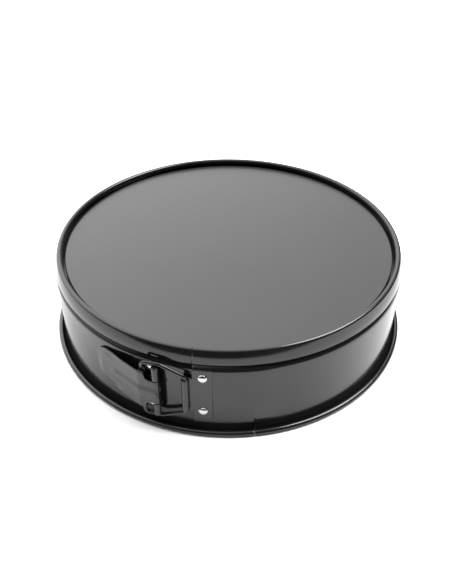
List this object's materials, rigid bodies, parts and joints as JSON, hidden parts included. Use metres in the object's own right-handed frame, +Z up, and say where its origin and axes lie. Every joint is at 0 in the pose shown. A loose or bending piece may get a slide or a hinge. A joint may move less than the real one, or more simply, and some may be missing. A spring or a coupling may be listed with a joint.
{
  "type": "springform pan",
  "caption": "Round springform cake pan, a sprung steel ring with an over-centre wire latch closed round a loose stepped base plate, standing mouth down.",
  "frame": {"origin": "on the pan's axis, in the plane that the rolled mouth rim rests on", "axes": "+Z up along the pan's axis, out of the base's underside; the latch faces -Y"},
  "size_m": [0.2728, 0.2737, 0.0706],
  "materials": {
    "ring_coating": "dark grey semi-gloss non-stick coating on sheet steel",
    "base_coating": "dark grey satin non-stick coating on sheet steel",
    "latch_coating": "dark grey semi-gloss coating on pressed steel",
    "link_wire": "dark glossy coating on round steel wire",
    "rivet_steel": "bright plated steel"
  },
  "bodies": {
    "pan_back": {"band_back": "ring_coating", "base_plate": "base_coating"},
    "ring_left": {"band_left": "ring_coating", "lever_bracket": "latch_coating", "hinge_pin": "latch_coating", "lever_rivet_upper": "rivet_steel", "lever_rivet_lower": "rivet_steel"},
    "ring_right": {"band_right": "ring_coating", "catch_bracket": "latch_coating", "catch_rivet_upper": "rivet_steel", "catch_rivet_lower": "rivet_steel"},
    "lever": {"lever": "latch_coating"},
    "link": {"wire_link": "link_wire"}
  },
  "joints": [
    {"name": "ring_flex_left", "type": "hinge", "parent": "pan_back", "child": "ring_left", "pos_m": [-0.08768, 0.10449, 0.0353], "axis": [0, 0, -1], "range_deg": [0, 1.27]},
    {"name": "ring_flex_right", "type": "hinge", "parent": "pan_back", "child": "ring_right", "pos_m": [0.08768, 0.10449, 0.0353], "axis": [0, 0, 1], "range_deg": [0, 1.27]},
    {"name": "lever_hinge", "type": "hinge", "parent": "ring_left", "child": "lever", "pos_m": [-0.02292, -0.13406, 0.036], "axis": [0, 0, 1], "range_deg": [0, 120]},
    {"name": "link_hinge", "type": "hinge", "parent": "ring_right", "child": "link", "pos_m": [-0.00398, -0.13394, 0.036], "axis": [0, 0, 1], "range_deg": [0, 21.11]}
  ],
  "couplings": [
    {"joint": "ring_flex_left", "follows": "lever_hinge", "ratio": 0.010388},
    {"joint": "ring_flex_right", "follows": "lever_hinge", "ratio": 0.010388},
    {"joint": "link_hinge", "follows": "lever_hinge", "ratio": 0.1751}
  ]
}
